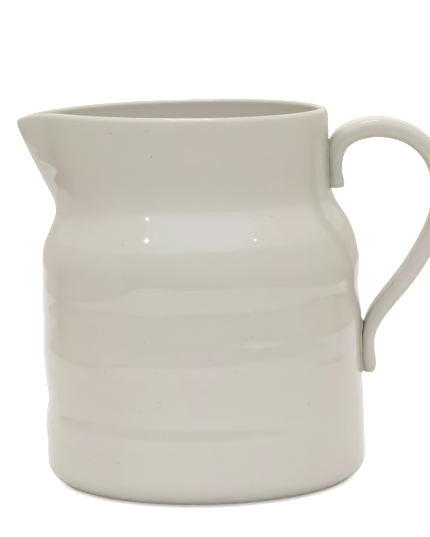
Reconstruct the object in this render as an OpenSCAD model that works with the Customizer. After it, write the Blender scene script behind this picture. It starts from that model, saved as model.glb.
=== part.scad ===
// Glazed stoneware pitcher with a pulled lip and a luted strap handle.
// Millimetres. +Z is up, the origin is the centre of the foot on the table,
// the lip points along -X and the handle stands out along +X.

/* [Body] */
// Height of the rim above the table
height = 179; // [165:1:195]
// Radius of the barrel, over the glaze
body_r = 77; // [74:0.5:80]
// Radius of the neck, over the glaze
neck_r = 61.5; // [59:0.5:64]
// Radius of the rounded bottom edge
base_round = 12; // [10:0.5:14]
// Clay and glaze together, in the barrel wall
wall_t = 5; // [4.5:0.1:6]
// Clay and glaze together, at the rim
rim_t = 4.2; // [3.6:0.1:5]
// Height of the glazed floor inside, over the table
floor_top = 7.4; // [7:0.1:10]

/* [Lip] */
// Distance from the axis to the tip of the lip
tip_r = 87.5; // [84:0.5:92]
// How far the keel of the lip runs out for each millimetre it rises
keel_slope = 0.43; // [0.38:0.01:0.5]
// Share of the pull that goes into the narrow beak, the rest swells the neck
beak_share = 0.54; // [0.4:0.01:0.7]
// Angular size of the beak, in degrees
beak_angle = 6; // [5:0.5:9]
// How far the tip dips below the rim
tip_dip = 2.6; // [0:0.1:4]

/* [Foot] */
// Height of the bare foot ring
foot_h = 1.2; // [1:0.1:3]
// Inner radius of the face that stands on the table
foot_in_r = 56; // [50:1:60]
// Outer radius of the face that stands on the table
foot_out_r = 64; // [62:0.5:67]

/* [Glaze and slip] */
// Thickness of the glaze
glaze_t = 0.4; // [0.3:0.05:0.6]
// How far the outside glaze reaches down inside the rim
glaze_lap = 14; // [8:1:20]
// Thickness of the slip that lutes the handle on
slip_t = 0.6; // [0.5:0.05:1]

/* [Handle] */
// Thickness of the strap at its top
strap_t = 10.3; // [9:0.1:12]
// Width of the strap at its middle
strap_w = 21; // [18:0.5:25]
// Distance from the axis to the middle of the strap where it stands out most
reach = 116; // [112:0.5:120]

/* [Hidden] */

// The wall is drawn as rings of points around the axis, closer together at the lip.
around = 52;
ring_bias = 1.4;
level_step = 7;
lip_steps = 6;
corner_steps = 4;

// Heights that the rest of the outline hangs on
shoulder_low = height * 0.603;
shoulder_high = height * 0.824;
keel_foot = height * 0.772;
keel_foot_r = neck_r + 9.8;
inner_round = 16;
rim_r = rim_t / 2;
rim_mid_r = neck_r - rim_r;

// Softness of the two bends of the keel: where it leaves the wall, and at the tip
keel_bend = 3.5;
tip_bend = 1.5;

// Rises smoothly from 0 to 1 while z goes from low to high
function ease(z, low, high) =
    let (t = min(max((z - low) / (high - low), 0), 1)) (1 - cos(180 * t)) / 2;

// The larger of x and 0, with the corner rounded over about w
function soft(x, w) = (x + sqrt(x * x + w * w)) / 2;

function sech(x) = 2 / (exp(x) + exp(-x));

// Radius over the glaze: straight barrel, S-shaped shoulder, straight neck
function wall_r(z) = body_r + (neck_r - body_r) * ease(z, shoulder_low, shoulder_high);

// Wall thickness over both glazes, thinner towards the rim
function wall_at(z) = wall_t + (rim_t - wall_t) * ease(z, shoulder_low, height - rim_r);

// How far the keel of the lip stands out of the round wall at height z
function pull(z) =
    let (line = keel_foot_r + keel_slope * (z - keel_foot),
         keel = tip_r - soft(tip_r - line, tip_bend))
    z < shoulder_low ? 0 : soft(keel - wall_r(z), keel_bend) * ease(z, shoulder_low, keel_foot);

// Share of that pull at angle a from the keel: a narrow beak on a broad swelling
function pull_share(a) =
    beak_share * sech(a / beak_angle) + (1 - beak_share) * (abs(a) < 90 ? pow(cos(a), 2) : 0);

// A point of the wall at radius r and height z of the round outline, pulled out for the lip
function wall_point(r, z, a) =
    let (out = r + pull(z) * pull_share(a),
         dip = tip_dip * ease(z, keel_foot, height) * pow(sech(a / beak_angle), 2))
    [-out * cos(a), -out * sin(a), z - dip];

// Angles from the keel, -180 to 180, closer together near 0
function ring_angle(i) =
    let (u = 2 * i / around - 1) sign(u) * 180 * pow(abs(u), ring_bias);

// Outline pieces as [radius, height], at depth d under the glaze. Each runs from the foot,
// up the outside, over the rim, down the inside and across the floor.
function bottom_edge(d) =
    let (r = base_round - d, first = asin((base_round - foot_h) / r))
    [for (i = [0:corner_steps - 1])
        let (a = first * (1 - i / corner_steps))
        [body_r - base_round + r * cos(a), base_round - r * sin(a)]];

function outside(d) =
    let (top = height - rim_r, n = ceil((top - base_round) / level_step))
    [for (i = [0:n - 1])
        let (z = base_round + (top - base_round) * i / n) [wall_r(z) - d, z]];

function rim(d) =
    [for (i = [0:lip_steps])
        let (a = 180 * i / lip_steps)
        [rim_mid_r + (rim_r - d) * cos(a), height - rim_r + (rim_r - d) * sin(a)]];

function inside(d, top, low) =
    let (n = ceil((top - low) / level_step))
    [for (i = [1:n]) let (z = top - (top - low) * i / n) [wall_r(z) - wall_at(z) + d, z]];

function floor_edge(d) =
    let (r = inner_round + d, mid = body_r - wall_t - inner_round)
    [for (i = [1:corner_steps])
        let (a = 90 * i / corner_steps)
        [mid + r * cos(a), floor_top + inner_round - r * sin(a)]];

rim_low = height - rim_r;
floor_bend = floor_top + inner_round;
lap_z = height - glaze_lap;

function reversed(list) = [for (i = [len(list) - 1:-1:0]) list[i]];

// Turns an outline into a closed solid. A closed outline is a ring of clay or glaze;
// an open one starts and ends with a flat disc across the axis.
module thrown(outline, closed = false) {
    rings = len(outline);
    points = [for (p = outline) for (i = [0:around - 1]) wall_point(p[0], p[1], ring_angle(i))];
    sides = [for (k = [0:closed ? rings - 1 : rings - 2]) for (i = [0:around - 1])
        let (up = (k + 1) % rings, next = (i + 1) % around,
             a = k * around + i, b = k * around + next, c = up * around + next, d = up * around + i)
        each [[a, d, c], [a, c, b]]];
    discs = closed ? [] : [[for (i = [0:around - 1]) i],
                           [for (i = [around - 1:-1:0]) (rings - 1) * around + i]];
    polyhedron(points, concat(sides, discs), convexity = 6);
}

// Everything inside the wall, at depth d under the glaze, from the bottom edge up to the rim
module wall_core(d) {
    thrown(concat([[wall_r(base_round) - d, base_round]], outside(d), [[neck_r - d, rim_low]]));
}

// Middle line of the strap from its upper tail to its lower tail:
// [distance from the axis, height, thickness, width]
strap_keys = [
    [neck_r + 4, height * 0.804, 7.2, strap_w - 2],
    [neck_r + 3.4, height * 0.841, 7, strap_w - 1],
    [neck_r + 5, height * 0.89, strap_t - 0.5, strap_w],
    [neck_r + 12, height * 0.93, strap_t - 0.2, strap_w + 1],
    [neck_r + 23, height * 0.945, strap_t, strap_w + 1],
    [reach - 20.5, height * 0.935, strap_t - 0.2, strap_w + 0.5],
    [reach - 11.8, height * 0.91, strap_t - 0.3, strap_w + 0.5],
    [reach - 4.3, height * 0.865, strap_t - 0.4, strap_w],
    [reach - 0.5, height * 0.805, strap_t - 0.5, strap_w],
    [reach, height * 0.75, strap_t - 0.6, strap_w],
    [reach - 3.2, height * 0.672, strap_t - 0.8, strap_w - 0.5],
    [reach - 13.8, height * 0.567, strap_t - 1, strap_w - 1],
    [reach - 22.8, height * 0.503, strap_t - 1.2, strap_w - 1.5],
    [body_r + 6.2, height * 0.433, strap_t - 1.6, strap_w - 2],
    [body_r + 2.6, height * 0.37, 7.2, strap_w - 1.5],
    [body_r + 2.8, height * 0.3, 7.4, strap_w - 2]
];

strap_spans = 2;
strap_sides = 16;

// Smooth curve through the keys
function between(p0, p1, p2, p3, t) =
    0.5 * (2 * p1 + (p2 - p0) * t + (2 * p0 - 5 * p1 + 4 * p2 - p3) * t * t
           + (3 * p1 - p0 - 3 * p2 + p3) * t * t * t);

last_key = len(strap_keys) - 1;

function strap_at(u) =
    let (k = min(floor(u), last_key - 1))
    between(strap_keys[max(k - 1, 0)], strap_keys[k], strap_keys[k + 1],
            strap_keys[min(k + 2, last_key)], u - k);

// Each end of the strap is pressed down to a blunt round end: [run past the end, share of the size]
strap_end = [[3.4, 0.35], [2.9, 0.66], [1.8, 0.88]];

// One rounded section of the strap. at is its middle, way its direction and share its size.
function strap_ring(key, at, way, share, d) =
    [for (i = [0:strap_sides - 1])
        let (a = 360 * i / strap_sides,
             out = (key[2] / 2 * share - d) * sign(cos(a)) * pow(abs(cos(a)), 0.85),
             side = (key[3] / 2 * share - d) * sign(sin(a)) * pow(abs(sin(a)), 0.85))
        [at[0] - way[1] * out, side, at[1] + way[0] * out]];

function flat_way(from, to) =
    let (v = [to[0] - from[0], to[1] - from[1]]) v / norm(v);

function strap_rings(d) =
    let (step = 1 / strap_spans, first = strap_at(0), end = strap_at(last_key),
         first_way = flat_way(first, strap_at(step)), end_way = flat_way(strap_at(last_key - step), end))
    concat(
        [for (e = strap_end)
            strap_ring(first, [first[0], first[1]] - (e[0] - d) * first_way, first_way, e[1], d)],
        [for (i = [0:last_key * strap_spans])
            let (u = i * step,
                 way = flat_way(strap_at(max(u - step / 2, 0)), strap_at(min(u + step / 2, last_key))),
                 key = strap_at(u))
            strap_ring(key, [key[0], key[1]], way, 1, d)],
        [for (e = reversed(strap_end))
            strap_ring(end, [end[0], end[1]] + (e[0] - d) * end_way, end_way, e[1], d)]);

// The whole strap as one solid, at depth d under its glaze
module strap(d) {
    rings = strap_rings(d);
    n = len(rings);
    s = strap_sides;
    sides = [for (k = [0:n - 2]) for (i = [0:s - 1])
        let (next = (i + 1) % s, a = k * s + i, b = k * s + next, c = b + s, e = a + s)
        each [[a, c, e], [a, b, c]]];
    discs = [[for (i = [s - 1:-1:0]) i], [for (i = [0:s - 1]) (n - 1) * s + i]];
    polyhedron([for (ring = rings) each ring], concat(sides, discs), convexity = 4);
}

// Footprints of the two handle joints on the wall: [lowest, highest, width]
upper_patch = [height * 0.784, height * 0.915, strap_w];
lower_patch = [height * 0.278, height * 0.43, strap_w];

// A rounded block that runs out through the wall over a footprint
module patch_block(patch) {
    round_r = 5;
    translate([neck_r - wall_t, 0, 0])
        rotate([90, 0, 90])
            linear_extrude(body_r - neck_r + 2 * wall_t)
                hull()
                    for (side = [-1, 1], z = [patch[0] + round_r, patch[1] - round_r])
                        translate([side * (patch[2] / 2 - round_r), z]) circle(r = round_r, $fn = 24);
}

// Clay wall, floor and pulled lip, thrown in one piece
module body() {
    color("#c8b79c")
        thrown(concat(bottom_edge(glaze_t), outside(glaze_t), rim(glaze_t),
                      inside(glaze_t, rim_low, floor_bend), floor_edge(glaze_t)));
}

// Turned ring under the floor, wiped clean of glaze, that the pitcher stands on
module foot_ring() {
    foot_edge = bottom_edge(glaze_t)[0][0];
    soft_edge = 0.5;
    color("#b79f7e")
        rotate_extrude($fn = 128)
            polygon([[foot_in_r - 1.5, foot_h], [foot_in_r, soft_edge], [foot_in_r + soft_edge, 0],
                     [foot_out_r, 0], [foot_out_r + 1.6, soft_edge / 2], [foot_edge, foot_h]]);
}

// Pulled clay strap, pressed onto the wall at both tails
module handle() {
    color("#c8b79c")
        difference() {
            strap(glaze_t);
            wall_core(glaze_t - slip_t);
        }
}

// Slip between a tail of the handle and the wall
module handle_joint(patch) {
    color("#d6c9b0")
        difference() {
            intersection() {
                wall_core(glaze_t - slip_t);
                patch_block(patch);
            }
            wall_core(glaze_t);
        }
}

module upper_handle_joint() { handle_joint(upper_patch); }

module lower_handle_joint() { handle_joint(lower_patch); }

// Outside glaze: from the foot up over the rim and a little way down inside
module outer_glaze() {
    color("#cfccc0")
        difference() {
            thrown(concat(bottom_edge(0), outside(0), rim(0), inside(0, rim_low, lap_z),
                          reversed(inside(glaze_t, rim_low, lap_z)), reversed(rim(glaze_t)),
                          reversed(outside(glaze_t)), reversed(bottom_edge(glaze_t))), closed = true);
            patch_block(upper_patch);
            patch_block(lower_patch);
        }
}

// Liner glaze: poured inside, from the lap down and across the floor
module inner_glaze() {
    lining = concat([[wall_r(lap_z) - wall_at(lap_z), lap_z]], inside(0, lap_z, floor_bend), floor_edge(0));
    backing = concat([[wall_r(lap_z) - wall_at(lap_z) + glaze_t, lap_z]],
                     inside(glaze_t, lap_z, floor_bend), floor_edge(glaze_t));
    color("#cfccc0")
        thrown(concat(reversed(backing), lining));
}

// Glaze skin over the strap, open where the tails sit on the wall
module handle_glaze() {
    color("#cfccc0")
        difference() {
            strap(0);
            strap(glaze_t);
            wall_core(glaze_t - slip_t);
        }
}

body();
foot_ring();
handle();
upper_handle_joint();
lower_handle_joint();
outer_glaze();
inner_glaze();
handle_glaze();
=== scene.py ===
"""A glazed stoneware pitcher with a pulled lip and a luted strap handle, built piece by piece as it is put
together: the thrown wall and its glazes, the handle and its glaze, the slip that holds it, the bare foot,
and then the studio."""

import math

import bmesh
import bpy
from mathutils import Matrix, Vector


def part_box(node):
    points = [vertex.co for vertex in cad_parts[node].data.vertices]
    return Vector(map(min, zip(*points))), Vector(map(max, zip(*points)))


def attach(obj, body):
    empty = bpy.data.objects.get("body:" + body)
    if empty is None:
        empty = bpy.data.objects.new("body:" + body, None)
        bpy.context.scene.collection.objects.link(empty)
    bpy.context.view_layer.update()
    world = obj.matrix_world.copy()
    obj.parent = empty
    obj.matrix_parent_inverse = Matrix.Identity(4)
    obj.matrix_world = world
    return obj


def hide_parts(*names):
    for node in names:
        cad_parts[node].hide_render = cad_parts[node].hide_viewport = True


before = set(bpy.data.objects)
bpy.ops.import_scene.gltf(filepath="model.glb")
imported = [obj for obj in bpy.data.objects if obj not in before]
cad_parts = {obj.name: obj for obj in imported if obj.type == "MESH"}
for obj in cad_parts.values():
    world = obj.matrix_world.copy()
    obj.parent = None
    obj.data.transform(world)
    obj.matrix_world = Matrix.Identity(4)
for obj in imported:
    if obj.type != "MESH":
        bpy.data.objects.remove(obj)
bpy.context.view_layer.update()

# ---- The thrown wall ----
# Stoneware thrown on a wheel as one wall and floor: a straight barrel, a rounded shoulder and a wide neck.
# Its outline is drawn once and spun round the axis. The clay and both glazes are cut from this one shape, so
# that they lie on each other everywhere.
mm = 0.001
glaze_low, glaze_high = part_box("outer_glaze")
rim_top = glaze_high.z
barrel_r = glaze_high.x
wall_foot = glaze_low.z
neck_r = 61.5 * mm
wall_t = 5 * mm
rim_t = 4.2 * mm
edge_r = 12 * mm
edge_gap = 3 * mm
floor_z = 7.4 * mm
floor_edge_r = 16 * mm
floor_disc_r = 9 * mm
shoulder_low = 0.603 * rim_top
shoulder_high = 0.824 * rim_top
rim_mid_z = rim_top - rim_t / 2
rim_mid_r = neck_r - rim_t / 2
rim_gap = 2 * mm


def ease(x, low, high):
    """Rises smoothly from 0 to 1 while x goes from low to high."""
    t = min(max((x - low) / (high - low), 0), 1)
    return (1 - math.cos(math.pi * t)) / 2


def wall_radius(z):
    """Radius over the glaze of the round wall at height z."""
    return barrel_r + (neck_r - barrel_r) * ease(z, shoulder_low, shoulder_high)


def wall_thickness(z):
    """Thickness of clay and glazes together, thinner towards the rim."""
    return wall_t + (rim_t - wall_t) * ease(z, shoulder_low, rim_mid_z)


def even_steps(start, end, count):
    """count values from start to end, both included."""
    return [start + (end - start) * i / (count - 1) for i in range(count)]


def arc(mid_r, mid_z, radius, start, end, count):
    """Points (radius, height) along an arc, with its angles in degrees from straight out."""
    return [(mid_r + radius * math.cos(math.radians(a)), mid_z + radius * math.sin(math.radians(a)))
            for a in even_steps(start, end, count)]


# From the middle of the underside up the outside, over the rim and down inside to the middle of the floor
foot_angle = math.degrees(math.asin((edge_r - wall_foot) / edge_r))
outline = [(floor_disc_r, wall_foot), (40 * mm, wall_foot), (66 * mm, wall_foot)]
outline += arc(barrel_r - edge_r, edge_r, edge_r, -foot_angle, -8, 7)
outline += [(wall_radius(z), z) for z in even_steps(edge_r + edge_gap, rim_mid_z - rim_gap, 32)]
outline += arc(rim_mid_r, rim_mid_z, rim_t / 2, 0, 180, 8)
outline += [(wall_radius(z) - wall_thickness(z), z)
            for z in even_steps(rim_mid_z - rim_gap, floor_z + floor_edge_r + edge_gap, 28)]
outline += arc(barrel_r - wall_t - floor_edge_r, floor_z + floor_edge_r, floor_edge_r, 0, -90, 7)
outline += [(34 * mm, floor_z), (floor_disc_r, floor_z)]


def only(piece):
    """Makes one object the only selected and active one."""
    bpy.ops.object.select_all(action="DESELECT")
    piece.select_set(True)
    bpy.context.view_layer.objects.active = piece


def pick(piece, wanted):
    """In edit mode, selects the vertices whose position passes the test, and nothing else."""
    mesh = bmesh.from_edit_mesh(piece.data)
    for element in (*mesh.verts, *mesh.edges, *mesh.faces):
        element.select_set(False)
    for vertex in mesh.verts:
        if wanted(vertex.co):
            vertex.select_set(True)
    mesh.select_flush_mode()
    bmesh.update_edit_mesh(piece.data)


lip_half_angle = math.radians(30)
start_side = Vector((-math.cos(lip_half_angle), -math.sin(lip_half_angle), 0))


def on_start_side(radius, height):
    """A point of the outline where the spin starts, at one side of the lip."""
    return start_side * radius + Vector((0, 0, height))


# One point, drawn along the outline
bpy.ops.object.select_all(action="DESELECT")
bpy.ops.mesh.primitive_plane_add(size=mm, location=(0, 0, 0))
vessel = bpy.context.object
vessel.name = "vessel"
bpy.ops.object.mode_set(mode="EDIT")
bpy.ops.mesh.merge(type="CENTER")
last = on_start_side(*outline[0])
bpy.ops.transform.translate(value=last)
for radius, height in outline[1:]:
    point = on_start_side(radius, height)
    bpy.ops.mesh.extrude_vertices_move(TRANSFORM_OT_translate={"value": point - last})
    last = point
bpy.ops.mesh.select_all(action="SELECT")
# Close columns at the lip, wider ones round the rest of the wall
lip_turn = 2 * lip_half_angle
for turn, columns in ((lip_turn, 20), (2 * math.pi - lip_turn, 40)):
    bpy.ops.mesh.spin(steps=columns, angle=turn, center=(0, 0, 0), axis=(0, 0, 1))
bpy.ops.mesh.select_all(action="SELECT")
bpy.ops.mesh.remove_doubles(threshold=0.02 * mm)
for disc_z in (wall_foot, floor_z):
    pick(vessel, lambda co: abs(co.z - disc_z) < 0.1 * mm and co.xy.length < floor_disc_r + 1 * mm)
    bpy.ops.mesh.edge_face_add()
bpy.ops.mesh.select_all(action="SELECT")
bpy.ops.mesh.normals_make_consistent(inside=False)
bpy.ops.object.mode_set(mode="OBJECT")

# ---- The thrower's hand ----
# A thrown wall is never quite true: each of its rings swells and drifts a little where the fingers climbed
# it. Only the wall does so, and the flat floor inside it stays still.
still_floor_r = 50 * mm
hand_rings = [
    # height, change of radius, drift towards the handle
    (0, 0.1 * mm, 0.5 * mm),
    (6 * mm, 1 * mm, 0.6 * mm),
    (14 * mm, 0.5 * mm, 0.35 * mm),
    (30 * mm, 0.6 * mm, 0.2 * mm),
    (40 * mm, -0.1 * mm, 0.85 * mm),
    (54 * mm, 0.2 * mm, -0.2 * mm),
    (66 * mm, 0.45 * mm, -0.7 * mm),
    (80 * mm, 0.3 * mm, -0.3 * mm),
    (92 * mm, -0.55 * mm, -1 * mm),
    (104 * mm, 0.05 * mm, -0.4 * mm),
    (115 * mm, -0.35 * mm, -0.8 * mm),
    (123 * mm, 0.5 * mm, 0),
    (128 * mm, 0.75 * mm, -0.3 * mm),
    (134 * mm, 0.3 * mm, -0.6 * mm),
    (138 * mm, 0.7 * mm, -0.4 * mm),
    (144 * mm, 1.4 * mm, -0.1 * mm),
    (152 * mm, 1.4 * mm, 0),
    (168 * mm, 1.2 * mm, 0),
    (174 * mm, 1.1 * mm, 0),
    (rim_top, 0.3 * mm, 0),
]


def hand_at(z):
    """Change of radius and drift at height z, eased from one ring to the next."""
    for (low, *below), (high, *above) in zip(hand_rings, hand_rings[1:]):
        if z <= high:
            t = ease(z, low, high)
            return [a + (b - a) * t for a, b in zip(below, above)]
    return hand_rings[-1][1:]


only(vessel)
bpy.ops.object.mode_set(mode="EDIT")
for level in sorted({round(height, 6) for radius, height in outline}):
    swell, drift = hand_at(level)
    pick(vessel, lambda co: abs(co.z - level) < 0.01 * mm and co.xy.length > still_floor_r)
    grow = 1 + swell / barrel_r
    bpy.ops.transform.resize(value=(grow, grow, 1), center_override=(0, 0, level))
    bpy.ops.transform.translate(value=(drift, 0, 0))
bpy.ops.object.mode_set(mode="OBJECT")

# ---- The pulled lip ----
# A finger draws the soft rim out into a narrow beak, and the neck swells out on both sides of it. The keel
# under the beak runs straight down to the shoulder. The rim isn't quite level: it stands a little higher
# along the front than along the back.
tip_r = -glaze_low.x + 1.2 * mm
keel_slope = 0.46
keel_foot_z = 0.772 * rim_top
keel_foot_r = neck_r + 8.8 * mm
keel_bend = 3.5 * mm
tip_bend = 1.5 * mm
beak_share = 0.54
beak_angle = math.radians(6)
tip_dip = 2.6 * mm
least_pull = 0.02 * mm
front_rise = 1.7 * mm
middle_share = 0.65
lip_share = 0.35


def soft(x, width):
    """The larger of x and 0, with the corner rounded over about width."""
    return (x + math.hypot(x, width)) / 2


def keel_pull(z):
    """How far the keel of the lip stands out of the round wall at height z."""
    if z < shoulder_low:
        return 0
    line = keel_foot_r + keel_slope * (z - keel_foot_z)
    keel = tip_r - soft(tip_r - line, tip_bend)
    return soft(keel - wall_radius(z), keel_bend) * ease(z, shoulder_low, keel_foot_z)


def beak(angle):
    """Share of the pull that the narrow beak takes at an angle from the keel."""
    return 1 / math.cosh(angle / beak_angle)


def rim_rise(place):
    """Share of the rise of the rim at a place on the wall, most at the front near the lip."""
    at_front = ease(-place.y, -5 * mm, 25 * mm) * (middle_share - lip_share * place.x / neck_r)
    return at_front * ease(place.z, rim_top - 30 * mm, rim_top - 2 * mm)


def apply_modifier(piece, kind, **settings):
    """Adds a modifier with these settings and applies it."""
    only(piece)
    modifier = piece.modifiers.new(kind.lower(), kind)
    for name, value in settings.items():
        setattr(modifier, name, value)
    bpy.ops.object.modifier_apply(modifier=modifier.name)


high_rim = vessel.vertex_groups.new(name="high_rim")
for vertex in vessel.data.vertices:
    high_rim.add([vertex.index], rim_rise(vertex.co), "REPLACE")
apply_modifier(vessel, "DISPLACE", direction="Z", vertex_group="high_rim", strength=front_rise, mid_level=0)

# Each point on the lip's side of the neck is pulled out on its own
bpy.ops.object.mode_set(mode="EDIT")
lip_mesh = bmesh.from_edit_mesh(vessel.data)
pulled = [(v.index, v.co.copy()) for v in lip_mesh.verts if v.co.z > shoulder_low and v.co.x < -1 * mm]
bpy.ops.mesh.select_all(action="DESELECT")
for index, place in pulled:
    angle = math.atan2(place.y, -place.x)
    share = beak_share * beak(angle) + (1 - beak_share) * math.cos(angle) ** 2
    out = keel_pull(place.z) * share
    dip = tip_dip * ease(place.z, keel_foot_z, rim_top) * beak(angle) ** 2
    if out < least_pull and dip < least_pull:
        continue
    lip_mesh.verts.ensure_lookup_table()
    lip_mesh.verts[index].select_set(True)
    bpy.ops.transform.translate(value=(-out * math.cos(angle), out * math.sin(angle), -dip))
    lip_mesh = bmesh.from_edit_mesh(vessel.data)
    lip_mesh.verts.ensure_lookup_table()
    lip_mesh.verts[index].select_set(False)
bpy.ops.object.mode_set(mode="OBJECT")

# ---- The finger waves ----
# Broad shallow waves run round the wall where the fingers drew it up. They are left in the clay itself, and
# they fade out at the foot and grow fainter at the rim.
apply_modifier(vessel, "SUBSURF", levels=2, render_levels=2)

rim_loss = 0.6
uneven = vessel.vertex_groups.new(name="uneven")
for vertex in vessel.data.vertices:
    at_foot = ease(vertex.co.z, 4 * mm, 22 * mm)
    at_rim = 1 - rim_loss * ease(vertex.co.z, rim_top - 16 * mm, rim_top)
    uneven.add([vertex.index], at_foot * at_rim, "REPLACE")

wave_place_unit = 0.1
waves = [
    # name, length round the wall, length up it, depth, place in the pattern
    ("broad", 90 * mm, 22 * mm, 0.45 * mm, (0.1, 0.2, 0.3)),
    ("finger", 120 * mm, 6 * mm, 0.12 * mm, (0.7, 0.1, 0.6)),
]
for name, across, up, depth, place in waves:
    pattern = bpy.data.textures.new(name + "_waves", "CLOUDS")
    pattern.noise_scale = 1
    pattern.noise_depth = 0
    bpy.ops.object.select_all(action="DESELECT")
    bpy.ops.object.empty_add(location=Vector(place) * wave_place_unit)
    ruler = bpy.context.object
    ruler.scale = (across, across, up)
    bpy.context.view_layer.update()
    apply_modifier(vessel, "DISPLACE", texture=pattern, texture_coords="OBJECT", texture_coords_object=ruler,
                   vertex_group="uneven", strength=2 * depth, mid_level=0.5)
    bpy.data.objects.remove(ruler)

# ---- Glaze on the outside ----
# The jug is dipped, so one glossy glaze coats the outside from the foot up, over the rim and a little way
# down inside: a skin under half a millimetre thick, warm grey-cream and softly rippled, with faint pink and
# green-grey clouding from the firing and a few tiny specks of iron.
glaze_t = 0.4 * mm
lap_z = rim_top - 14 * mm
smooth_angle = math.radians(50)


def group_socket(tree, name, kind, way, value=None):
    """Adds a named input or output to a shader node group."""
    socket = tree.interface.new_socket(name=name, in_out=way, socket_type="NodeSocket" + kind)
    if value is not None:
        socket.default_value = value
    return socket


def add_node(tree, kind, place, **settings):
    """Adds a shader node at a place on the sheet and sets its properties, or its inputs by name."""
    node = tree.nodes.new("ShaderNode" + kind)
    node.location = place
    for name, value in settings.items():
        if hasattr(node, name):
            setattr(node, name, value)
        else:
            node.inputs[name.replace("_", " ")].default_value = value
    return node


def colour_mix(tree, place, fac, first, second):
    """Mixes two colours by a 0 to 1 mask. A colour is a socket or four numbers."""
    mix = tree.nodes.new("ShaderNodeMix")
    mix.data_type = "RGBA"
    mix.location = place
    for socket, value in ((mix.inputs[0], fac), (mix.inputs[6], first), (mix.inputs[7], second)):
        if isinstance(value, bpy.types.NodeSocket):
            tree.links.new(value, socket)
        else:
            socket.default_value = value
    return mix.outputs[2]


def ramp(tree, place, socket, low, high):
    """Turns a value into a mask that rises from 0 at low to 1 at high."""
    node = tree.nodes.new("ShaderNodeMapRange")
    node.interpolation_type = "SMOOTHSTEP"
    node.location = place
    node.inputs["From Min"].default_value = low
    node.inputs["From Max"].default_value = high
    tree.links.new(socket, node.inputs["Value"])
    return node.outputs["Result"]


def noise(tree, place, vector, scale, detail, **settings):
    """A cloudy 0 to 1 pattern. A larger scale makes it finer, and more detail makes it rougher."""
    node = add_node(tree, "TexNoise", place, Scale=scale, Detail=detail, **settings)
    tree.links.new(vector, node.inputs["Vector"])
    return node.outputs["Fac"]


clouding = bpy.data.node_groups.new("glaze_clouding", "ShaderNodeTree")
group_socket(clouding, "Vector", "Vector", "INPUT")
group_socket(clouding, "Base", "Color", "INPUT", (0.6, 0.56, 0.48, 1))
group_socket(clouding, "Pink", "Color", "INPUT", (0.6, 0.52, 0.46, 1))
group_socket(clouding, "Green", "Color", "INPUT", (0.56, 0.56, 0.47, 1))
group_socket(clouding, "Speck", "Color", "INPUT", (0.3, 0.24, 0.17, 1))
group_socket(clouding, "Color", "Color", "OUTPUT")
group_socket(clouding, "Roughness", "Float", "OUTPUT")
group_socket(clouding, "Height", "Float", "OUTPUT")
enter = clouding.nodes.new("NodeGroupInput")
leave = clouding.nodes.new("NodeGroupOutput")
enter.location = (-900, 0)
leave.location = (900, 0)
vector = enter.outputs["Vector"]
pink_clouds = noise(clouding, (-600, 300), vector, scale=26, detail=2)
pink_mask = ramp(clouding, (-400, 300), pink_clouds, low=0.46, high=0.66)
green_clouds = noise(clouding, (-600, 60), vector, scale=17, detail=3, Distortion=0.4)
green_mask = ramp(clouding, (-400, 60), green_clouds, low=0.5, high=0.7)
specks = noise(clouding, (-600, -180), vector, scale=800, detail=0)
speck_mask = ramp(clouding, (-400, -180), specks, low=0.86, high=0.92)
cloudy = colour_mix(clouding, (-150, 200), pink_mask, enter.outputs["Base"], enter.outputs["Pink"])
cloudy = colour_mix(clouding, (50, 150), green_mask, cloudy, enter.outputs["Green"])
cloudy = colour_mix(clouding, (250, 100), speck_mask, cloudy, enter.outputs["Speck"])
clouding.links.new(cloudy, leave.inputs["Color"])
gloss_clouds = noise(clouding, (-600, -400), vector, scale=60, detail=3)
gloss = ramp(clouding, (-400, -400), gloss_clouds, low=0.2, high=0.8)
gloss_range = add_node(clouding, "MapRange", (-150, -400), To_Min=0.02, To_Max=0.045)
clouding.links.new(gloss, gloss_range.inputs["Value"])
clouding.links.new(gloss_range.outputs["Result"], leave.inputs["Roughness"])
ripple = noise(clouding, (-600, -650), vector, scale=120, detail=2)
clouding.links.new(ripple, leave.inputs["Height"])


def glaze_material(name, base, pink, green, ripple_depth):
    """A glossy glaze with its own tones over the shared clouding."""
    material = bpy.data.materials.new(name)
    material.use_nodes = True
    tree = material.node_tree
    shader = tree.nodes["Principled BSDF"]
    place = add_node(tree, "TexCoord", (-900, 0))
    clouds = tree.nodes.new("ShaderNodeGroup")
    clouds.node_tree = clouding
    clouds.location = (-600, 0)
    clouds.inputs["Base"].default_value = base
    clouds.inputs["Pink"].default_value = pink
    clouds.inputs["Green"].default_value = green
    bump = add_node(tree, "Bump", (-300, -300), Strength=0.2, Distance=ripple_depth)
    tree.links.new(place.outputs["Object"], clouds.inputs["Vector"])
    tree.links.new(clouds.outputs["Color"], shader.inputs["Base Color"])
    tree.links.new(clouds.outputs["Roughness"], shader.inputs["Roughness"])
    tree.links.new(clouds.outputs["Height"], bump.inputs["Height"])
    tree.links.new(bump.outputs["Normal"], shader.inputs["Normal"])
    shader.inputs["IOR"].default_value = 1.5
    return material


outer_glaze_finish = glaze_material("outer_glaze_finish", base=(0.53, 0.507, 0.407, 1),
                                    pink=(0.54, 0.493, 0.414, 1), green=(0.52, 0.507, 0.4, 1),
                                    ripple_depth=0.3 * mm)


def copy_of(piece, name):
    """A separate piece with its own mesh."""
    twin = piece.copy()
    twin.data = piece.data.copy()
    twin.name = name
    twin.data.name = name
    bpy.context.collection.objects.link(twin)
    return twin


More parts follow.
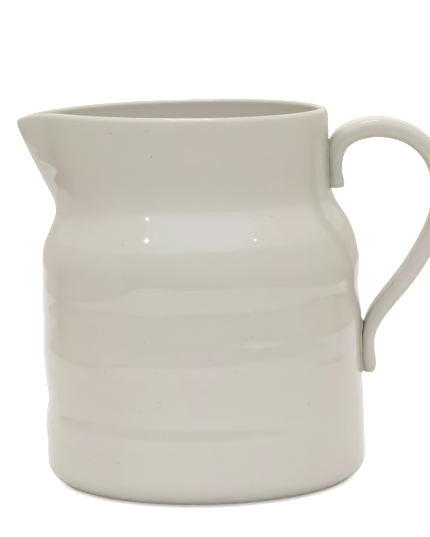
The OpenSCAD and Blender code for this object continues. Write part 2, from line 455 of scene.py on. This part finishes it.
def keep_faces(piece, wanted):
    """Deletes the faces whose centre and normal don't pass the test."""
    only(piece)
    bpy.ops.object.mode_set(mode="EDIT")
    bpy.ops.mesh.select_mode(type="FACE")
    mesh = bmesh.from_edit_mesh(piece.data)
    for face in mesh.faces:
        face.select_set(not wanted(face.calc_center_median(), face.normal))
    bmesh.update_edit_mesh(piece.data)
    bpy.ops.mesh.delete(type="FACE")
    bpy.ops.mesh.select_mode(type="VERT")
    bpy.ops.object.mode_set(mode="OBJECT")


def faces_in(centre, normal):
    """True on the inside of the wall and on the floor inside."""
    away = Vector((centre.x, centre.y, 0)).normalized()
    if centre.z > rim_mid_z - rim_gap:
        return False
    return normal.dot(away) < -0.2 or (normal.z > 0.5 and centre.z < shoulder_low)


def outer_side(centre, normal):
    """True on the outside, over the rim and down to the lap inside, but not on the underside."""
    if centre.z < wall_foot + 0.2 * mm and normal.z < -0.9:
        return False
    return centre.z > lap_z or not faces_in(centre, normal)


def coat(piece, name, wanted, finish_material):
    """Cuts a glaze skin out of a shape and gives it its thickness."""
    skin = copy_of(piece, name)
    keep_faces(skin, wanted)
    apply_modifier(skin, "SOLIDIFY", thickness=glaze_t, offset=-1, use_even_offset=True)
    bpy.ops.object.shade_smooth_by_angle(angle=smooth_angle)
    skin.data.materials.append(finish_material)
    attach(skin, "root")
    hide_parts(name)


coat(vessel, "outer_glaze", outer_side, outer_glaze_finish)

# ---- Glaze inside ----
# The liner is glaze poured in and tipped out again. It is the same glaze as the outside, but its colour is
# painted paler: painted light standing in for light that the shaded inside of the jug lacks. It covers the
# floor and the wall inside and meets the outside glaze below the rim.
# Painted light: a paler copy of the outside glaze, so the shaded inside looks lit
painted_light_liner_glaze = glaze_material("painted_light_liner_glaze", base=(0.77, 0.75, 0.64, 1),
                                    pink=(0.77, 0.74, 0.64, 1), green=(0.755, 0.75, 0.63, 1),
                                    ripple_depth=0.3 * mm)


def liner_side(centre, normal):
    """True inside, below the lap of the outer glaze."""
    return centre.z <= lap_z and faces_in(centre, normal)


coat(vessel, "inner_glaze", liner_side, painted_light_liner_glaze)

# ---- The clay wall ----
# The fired clay itself, buff and fine-grained. It lies under both glazes by the thickness of the glaze, and
# it is bare only on the underside, where it was wiped.
clay_body = copy_of(vessel, "body")
only(clay_body)
bpy.ops.object.mode_set(mode="EDIT")
bpy.ops.mesh.select_all(action="SELECT")
bpy.ops.transform.shrink_fatten(value=-glaze_t)
pick(clay_body, lambda co: co.z < wall_foot + 1 * mm and co.xy.length < barrel_r - 3 * mm)
bpy.ops.transform.resize(value=(1, 1, 0), center_override=(0, 0, wall_foot))
bpy.ops.object.mode_set(mode="OBJECT")
bpy.ops.object.shade_smooth_by_angle(angle=smooth_angle)

dark_buff = (0.5, 0.41, 0.29, 1)
light_buff = (0.58, 0.49, 0.36, 1)
brown_grain = (0.33, 0.25, 0.17, 1)
clay_finish = bpy.data.materials.new("clay_finish")
clay_finish.use_nodes = True
clay_tree = clay_finish.node_tree
clay_shader = clay_tree.nodes["Principled BSDF"]
clay_place = add_node(clay_tree, "TexCoord", (-1000, 0)).outputs["Object"]
clay_grain = noise(clay_tree, (-800, 200), clay_place, scale=500, detail=4)
clay_tone = noise(clay_tree, (-800, 0), clay_place, scale=40, detail=3)
tone_mask = ramp(clay_tree, (-600, 0), clay_tone, low=0.3, high=0.7)
grain_mask = ramp(clay_tree, (-600, 200), clay_grain, low=0.62, high=0.75)
clay_colour = colour_mix(clay_tree, (-400, 200), tone_mask, dark_buff, light_buff)
clay_colour = colour_mix(clay_tree, (-200, 200), grain_mask, clay_colour, brown_grain)
clay_rough = add_node(clay_tree, "MapRange", (-400, -100), To_Min=0.75, To_Max=0.95)
clay_bump = add_node(clay_tree, "Bump", (-200, -300), Strength=0.6, Distance=0.15 * mm)
clay_tree.links.new(clay_colour, clay_shader.inputs["Base Color"])
clay_tree.links.new(clay_grain, clay_rough.inputs["Value"])
clay_tree.links.new(clay_rough.outputs["Result"], clay_shader.inputs["Roughness"])
clay_tree.links.new(clay_grain, clay_bump.inputs["Height"])
clay_tree.links.new(clay_bump.outputs["Normal"], clay_shader.inputs["Normal"])
clay_body.data.materials.append(clay_finish)
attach(clay_body, "root")
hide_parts("body")

# ---- The strap handle ----
# A strap of the same clay, pulled by hand, bent over while soft and pressed onto the neck and the barrel by
# its two tails. Its clay and its glaze are cut from one shape, like those of the wall.
strap_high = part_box("handle_glaze")[1]
strap_t = 10.3 * mm
strap_w = 21 * mm
reach = strap_high.x - strap_t / 2 + 0.2 * mm
strap_corners = 16

# Middle line of the strap from its upper tail to its lower one
strap_keys = [
    # distance from the axis, height, thickness, width
    (neck_r + 4 * mm, 0.804 * rim_top, 8 * mm, strap_w - 1 * mm),
    (neck_r + 3.4 * mm, 0.841 * rim_top, 7 * mm, strap_w - 1 * mm),
    (neck_r + 4.6 * mm, 0.898 * rim_top, strap_t - 0.2 * mm, strap_w),
    (neck_r + 12 * mm, 0.932 * rim_top, strap_t - 0.2 * mm, strap_w + 1 * mm),
    (neck_r + 23 * mm, 0.945 * rim_top, strap_t, strap_w + 1 * mm),
    (reach - 20.5 * mm, 0.935 * rim_top, strap_t - 0.2 * mm, strap_w + 0.5 * mm),
    (reach - 11.8 * mm, 0.91 * rim_top, strap_t - 0.3 * mm, strap_w + 0.5 * mm),
    (reach - 4.3 * mm, 0.865 * rim_top, strap_t - 0.4 * mm, strap_w),
    (reach - 0.5 * mm, 0.805 * rim_top, strap_t - 0.5 * mm, strap_w),
    (reach, 0.75 * rim_top, strap_t - 0.6 * mm, strap_w),
    (reach - 3.2 * mm, 0.672 * rim_top, strap_t - 0.8 * mm, strap_w - 0.5 * mm),
    (reach - 13.8 * mm, 0.567 * rim_top, strap_t - 1 * mm, strap_w - 1 * mm),
    (reach - 22.8 * mm, 0.503 * rim_top, strap_t - 1.2 * mm, strap_w - 1.5 * mm),
    (barrel_r + 6.2 * mm, 0.433 * rim_top, strap_t - 1.8 * mm, strap_w - 2 * mm),
    (barrel_r + 2.5 * mm, 0.37 * rim_top, 6.8 * mm, strap_w - 1.5 * mm),
    (barrel_r + 3 * mm, 0.31 * rim_top, 8 * mm, strap_w - 1.5 * mm),
]
# Each tail ends blunt: how far past its last key, and the share of the full size there
upper_end = [(1.6 * mm, 1.06), (3 * mm, 1), (3.6 * mm, 0.8)]
lower_end = [(2.4 * mm, 0.96), (4.6 * mm, 0.8), (5.8 * mm, 0.52), (6.2 * mm, 0.25)]


def strap_at(place):
    """The strap part of the way from one key to the next, on a smooth curve through all of them."""
    last_span = len(strap_keys) - 2
    span = min(int(place), last_span)
    t = place - span
    near = [min(max(i, 0), last_span + 1) for i in range(span - 1, span + 3)]
    before, start, end, after = (Vector(strap_keys[i]) for i in near)
    curve = start * 2 + (end - before) * t + (before * 2 - start * 5 + end * 4 - after) * t ** 2
    return (curve + (start * 3 - before - end * 3 + after) * t ** 3) / 2


def end_ring(place, past, share):
    """A ring of a blunt end, straight below the strap at this place."""
    x, z, thick, wide = strap_at(place)
    return Vector((x, 0, z)) + Vector((0, 0, -1)) * past, thick * share, wide * share


# Each ring: its middle, thickness and width
last_key = len(strap_keys) - 1
rings = [end_ring(0, past, share) for past, share in reversed(upper_end)]
for place in even_steps(0, last_key, 2 * last_key + 1):
    x, z, thick, wide = strap_at(place)
    rings.append((Vector((x, 0, z)), thick, wide))
rings += [end_ring(last_key, past, share) for past, share in lower_end]

bpy.ops.object.select_all(action="DESELECT")
start, thick, wide = rings[0]
bpy.ops.mesh.primitive_circle_add(vertices=strap_corners, radius=thick / 2, fill_type="NGON", location=start,
                                  rotation=(0, 0, math.radians(90)))
strap = bpy.context.object
strap.name = "strap"
bpy.ops.object.transform_apply(location=True, rotation=True, scale=True)
bpy.ops.object.mode_set(mode="EDIT")
# A round section drawn apart into a strap with round edges
for side in (-1, 1):
    pick(strap, lambda co: co.y * side > 0.1 * mm)
    bpy.ops.transform.translate(value=(0, side * (wide - thick) / 2, 0))
bpy.ops.mesh.select_all(action="SELECT")
least_turn = 1e-5
heading = 0
for number in range(1, len(rings)):
    point, new_thick, new_wide = rings[number]
    bpy.ops.mesh.extrude_region_move(TRANSFORM_OT_translate={"value": point - rings[number - 1][0]})
    ahead = rings[min(number + 1, len(rings) - 1)][0] - rings[number - 1][0]
    new_heading = math.atan2(ahead.x, ahead.z)
    # The blunt upper end stays level
    if number < len(upper_end):
        new_heading = 0
    turn = (new_heading - heading + math.pi) % (2 * math.pi) - math.pi
    if abs(turn) > least_turn:
        bpy.ops.transform.rotate(value=-turn, orient_axis="Y", center_override=point)
    heading = new_heading
    thicker = new_thick / thick
    bpy.ops.transform.resize(value=(thicker, new_wide / wide, thicker), center_override=point)
    thick, wide = new_thick, new_wide
bpy.ops.mesh.select_all(action="SELECT")
bpy.ops.mesh.normals_make_consistent(inside=False)
bpy.ops.object.mode_set(mode="OBJECT")
apply_modifier(strap, "SUBSURF", levels=2, render_levels=2)


def clear_of_wall(centre, normal):
    """True where the strap's skin isn't buried in the wall."""
    return centre.xy.length > wall_radius(centre.z) - 1 * mm


coat(strap, "handle_glaze", clear_of_wall, outer_glaze_finish)

handle = copy_of(strap, "handle")
only(handle)
bpy.ops.object.mode_set(mode="EDIT")
bpy.ops.mesh.select_all(action="SELECT")
bpy.ops.transform.shrink_fatten(value=-glaze_t)
bpy.ops.object.mode_set(mode="OBJECT")
bpy.ops.object.shade_smooth()
handle.data.materials.append(clay_finish)
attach(handle, "root")
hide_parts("handle")
bpy.data.objects.remove(strap)

# ---- The slip joints ----
# Each tail is scored, wetted with slip and pressed on. The slip squeezes out round it in a low bead,
# smoothed with a wet finger, and the glaze runs over it.
bead_out = 0.6 * mm
bead_back = 0.6 * mm
bead_corner = 7 * mm
start_off = 20 * mm
# The bead leaves the wall at its rim and rises towards the tail: how far in and how far up, step by step
bead_steps = [(0.8 * mm, 0.2 * mm), (0.8 * mm, 0.3 * mm), (1 * mm, 0.4 * mm), (1.5 * mm, 0.2 * mm)]
for name in ("upper_handle_joint", "lower_handle_joint"):
    joint_low, joint_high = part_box(name)
    joint_mid = Vector((joint_high.x + start_off, 0, (joint_low.z + joint_high.z) / 2))
    joint_tall = joint_high.z - joint_low.z + 2 * bead_out
    joint_wide = joint_high.y - joint_low.y + 2 * bead_out
    bpy.ops.object.select_all(action="DESELECT")
    bpy.ops.mesh.primitive_plane_add(size=1, location=joint_mid, rotation=(0, math.pi / 2, 0))
    joint = bpy.context.object
    joint.name = name + "_slip"
    joint.scale = (joint_tall, joint_wide, 1)
    bpy.ops.object.transform_apply(location=True, rotation=True, scale=True)
    bpy.ops.object.mode_set(mode="EDIT")
    bpy.ops.mesh.select_all(action="SELECT")
    bpy.ops.mesh.bevel(offset=bead_corner, segments=6, affect="VERTICES")
    bpy.ops.mesh.select_all(action="SELECT")
    bpy.ops.mesh.subdivide(number_cuts=1)
    bpy.ops.object.mode_set(mode="OBJECT")
    apply_modifier(joint, "SHRINKWRAP", target=vessel, wrap_method="PROJECT", use_project_x=True,
                   use_negative_direction=True, use_positive_direction=False)
    bpy.ops.object.mode_set(mode="EDIT")
    bpy.ops.mesh.select_all(action="SELECT")
    for inward, rise in bead_steps:
        bpy.ops.mesh.inset(thickness=inward, depth=rise)
    # Its back is pressed into the wall
    bpy.ops.mesh.select_all(action="DESELECT")
    bpy.ops.mesh.select_non_manifold(extend=False)
    bpy.ops.mesh.extrude_edges_move(TRANSFORM_OT_translate={"value": (-bead_back, 0, 0)})
    bpy.ops.mesh.edge_face_add()
    bpy.ops.mesh.select_all(action="SELECT")
    bpy.ops.mesh.normals_make_consistent(inside=False)
    bpy.ops.object.mode_set(mode="OBJECT")
    apply_modifier(joint, "SUBSURF", levels=2, render_levels=2)
    bpy.ops.object.shade_smooth()
    joint.data.materials.append(outer_glaze_finish)
    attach(joint, "root")
    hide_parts(name)
bpy.data.objects.remove(vessel)

# ---- The foot ring ----
# The bare ring that the jug stands on, turned from the clay of the wall and sponged clean of glaze before
# the firing. The CAD shape of it is already true, so it is only given its finish.
foot_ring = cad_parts["foot_ring"]
foot_ring.data.materials.clear()
foot_ring.data.materials.append(clay_finish)

# ---- The studio ----
# A narrow white table in a room that only the glaze mirrors: a pale sweep behind, a ceiling that comes lower
# towards the back, with a bluish panel in it, and a dark front. The lights are a soft box above, a broad
# fill in front that the glaze doesn't mirror, and two small lamps high on either side of the camera.
table_front = -0.55
table_depth = 8
table_width = 0.84
table_white = (0.88, 0.88, 0.86, 1)
table_seen_white = (0.95, 0.95, 0.95, 1)
table_glow = (0.5, 0.5, 0.5, 1)
bpy.ops.object.select_all(action="DESELECT")
bpy.ops.mesh.primitive_plane_add(size=1, location=(0, table_front + table_depth / 2, 0))
floor = bpy.context.object
floor.name = "floor"
floor.scale = (table_width, table_depth, 1)
bpy.ops.object.transform_apply(location=True, rotation=True, scale=True)
floor_finish = bpy.data.materials.new("floor_finish")
floor_finish.use_nodes = True
floor_tree = floor_finish.node_tree
floor_shader = floor_tree.nodes["Principled BSDF"]
floor_shader.inputs["Roughness"].default_value = 0.9
# The camera sees the table lit up to a plain white, and the glaze sees only its own white
looked_at = add_node(floor_tree, "LightPath", (-600, 0)).outputs["Is Camera Ray"]
floor_tone = colour_mix(floor_tree, (-300, 0), looked_at, table_white, table_seen_white)
floor_tree.links.new(floor_tone, floor_shader.inputs["Base Color"])
floor_tree.links.new(looked_at, floor_shader.inputs["Emission Strength"])
floor_shader.inputs["Emission Color"].default_value = table_glow
floor.data.materials.append(floor_finish)

panel_tone = (1.3, 1.42, 2.1, 1)
ceiling_tone = (1.02, 1, 0.93, 1)
front_tone = (0.19, 0.16, 0.14, 1)
front_sides_tone = (0.6, 0.57, 0.52, 1)
sweep_tone = (0.76, 0.72, 0.62, 1)
backdrop_white = (1.2, 1.2, 1.2, 1)
scene = bpy.context.scene
scene.view_settings.view_transform = "Standard"
room = bpy.data.worlds.new("white_room")
scene.world = room
room.use_nodes = True
walls = room.node_tree
backdrop = walls.nodes["Background"]
backdrop.inputs["Strength"].default_value = 1
toward = add_node(walls, "SeparateXYZ", (-1200, 0))
walls.links.new(add_node(walls, "TexCoord", (-1400, 0)).outputs["Generated"], toward.inputs[0])


def sloping(place, along, slope, level):
    """A direction's level plus a share of how far it points along another axis."""
    node = add_node(walls, "Math", place, operation="MULTIPLY_ADD")
    walls.links.new(toward.outputs[along], node.inputs[0])
    node.inputs[1].default_value = slope
    walls.links.new(level, node.inputs[2])
    return node.outputs[0]


# The sweep is behind the jug, out to where its edge shows in the sides of the barrel. It leans forward.
sweep_lean = sloping((-1100, 300), along="Z", slope=1.2, level=toward.outputs["Y"])
behind = ramp(walls, (-900, 300), sweep_lean, low=0.367, high=0.417)
# The ceiling comes lower towards the back
ceiling_slope = sloping((-1100, 50), along="Y", slope=0.26, level=toward.outputs["Z"])
overhead = ramp(walls, (-900, 50), ceiling_slope, low=0.35, high=0.39)
# The panel in it ends at its two sides and in front of the sweep
aside = add_node(walls, "Math", (-1200, -200), operation="ABSOLUTE")
walls.links.new(toward.outputs["X"], aside.inputs[0])
panel_edge = ramp(walls, (-900, -200), aside.outputs[0], low=0.52, high=0.56)
backwards = ramp(walls, (-900, -400), toward.outputs["Y"], low=-0.3, high=-0.1)
panel = colour_mix(walls, (-750, -200), panel_edge, panel_tone, ceiling_tone)
ceiling = colour_mix(walls, (-600, -200), backwards, panel, ceiling_tone)
far_aside = ramp(walls, (-900, 500), aside.outputs[0], low=0.7, high=0.98)
front = colour_mix(walls, (-700, 400), far_aside, front_tone, front_sides_tone)
sides = colour_mix(walls, (-500, 200), behind, front, sweep_tone)
around = colour_mix(walls, (-300, 100), overhead, sides, ceiling)
# The camera itself sees plain white all round
seen = add_node(walls, "LightPath", (-500, 400)).outputs["Is Camera Ray"]
walls.links.new(colour_mix(walls, (-50, 300), seen, around, backdrop_white), backdrop.inputs["Color"])


def add_light(kind, name, radius, place, watts, tip=0):
    """Adds a light that shines down, or is tipped towards the back of the room by an angle."""
    bpy.ops.object.select_all(action="DESELECT")
    bpy.ops.object.light_add(type=kind, radius=radius, location=place, rotation=(tip, 0, 0))
    light = bpy.context.object
    light.name = name
    light.data.energy = watts
    return light


add_light("AREA", "soft_box", radius=0.5, place=(0, 0, 1.8), watts=5)
fill = add_light("AREA", "fill", radius=1.2, place=(0, -1.6, 0.8), watts=7.2, tip=math.radians(65))
fill.visible_glossy = False
for side in (-1, 1):
    add_light("POINT", "lamp", radius=0.009, place=(side * 0.92, -0.84, 1.2), watts=11)

target = Vector((6.3 * mm, 0, 101.6 * mm))
camera_distance = 1.33
look_down = math.radians(8.34)
tilt = math.radians(1.17)
away = Vector((0, -math.cos(look_down), math.sin(look_down)))
bpy.ops.object.camera_add(location=target + away * camera_distance)
camera = bpy.context.object
camera.rotation_mode = "XYZ"
camera.rotation_euler = (math.pi / 2 - look_down, 0, 0)
camera.rotation_euler.rotate_axis("Z", -tilt)
camera.data.sensor_fit = "VERTICAL"
camera.data.sensor_height = 36
camera.data.lens = 184.2
scene.camera = camera
